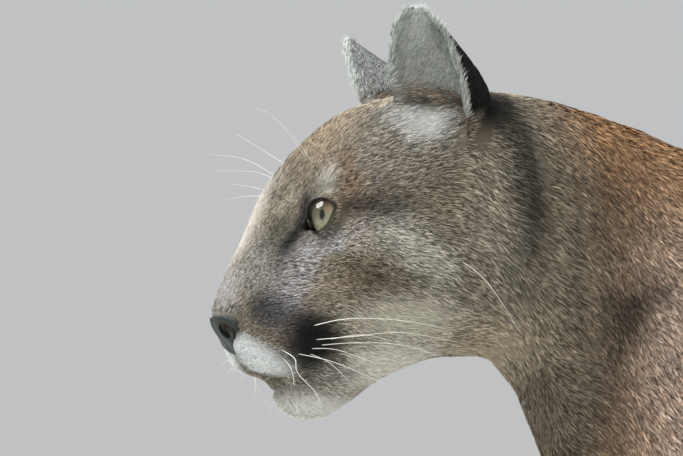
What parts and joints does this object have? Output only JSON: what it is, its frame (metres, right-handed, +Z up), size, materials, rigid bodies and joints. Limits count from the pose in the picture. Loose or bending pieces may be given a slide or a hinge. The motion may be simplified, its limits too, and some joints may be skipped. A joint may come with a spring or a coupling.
{
  "type": "cougar",
  "caption": "Life-size still model of a standing cougar with its head turned to its left, short coat, pricked rounded ears and a long low tail.",
  "frame": {"origin": "centre of the object's bounding box at floor level, under the paws", "axes": "+X along the body towards the tail, so that the head is at -X; +Y towards the animal's right side; +Z up"},
  "size_m": [1.7272, 0.2936, 0.8499],
  "materials": {
    "head_coat": "short dense tawny and grey coat, pale on muzzle and chin, dark beside the whiskers",
    "neck_coat": "short dense rusty tawny coat",
    "body_coat": "short dense tawny coat, paler underneath",
    "leg_coat": "short tawny coat, pale on the inner sides",
    "paw_coat": "short pale tawny coat",
    "tail_coat": "dense tawny coat",
    "tail_tip_coat": "dense blackish brown coat",
    "ear_coat": "short coat, black behind and pale grey inside",
    "nose_leather": "bare damp dark grey skin",
    "eye": "clear glossy eye with a pale greenish iris"
  },
  "bodies": {
    "root": {"head": "head_coat", "neck": "neck_coat", "torso": "body_coat", "hindquarters": "body_coat", "tail_base": "tail_coat", "tail_middle": "tail_coat", "tail_tip": "tail_tip_coat", "nose": "nose_leather", "front_leg_left": "leg_coat", "front_paw_left": "paw_coat", "hind_leg_left": "leg_coat", "hind_paw_left": "paw_coat", "eye_left": "eye", "ear_left": "ear_coat", "front_leg_right": "leg_coat", "front_paw_right": "paw_coat", "hind_leg_right": "leg_coat", "hind_paw_right": "paw_coat", "eye_right": "eye", "ear_right": "ear_coat"}
  },
  "joints": []
}
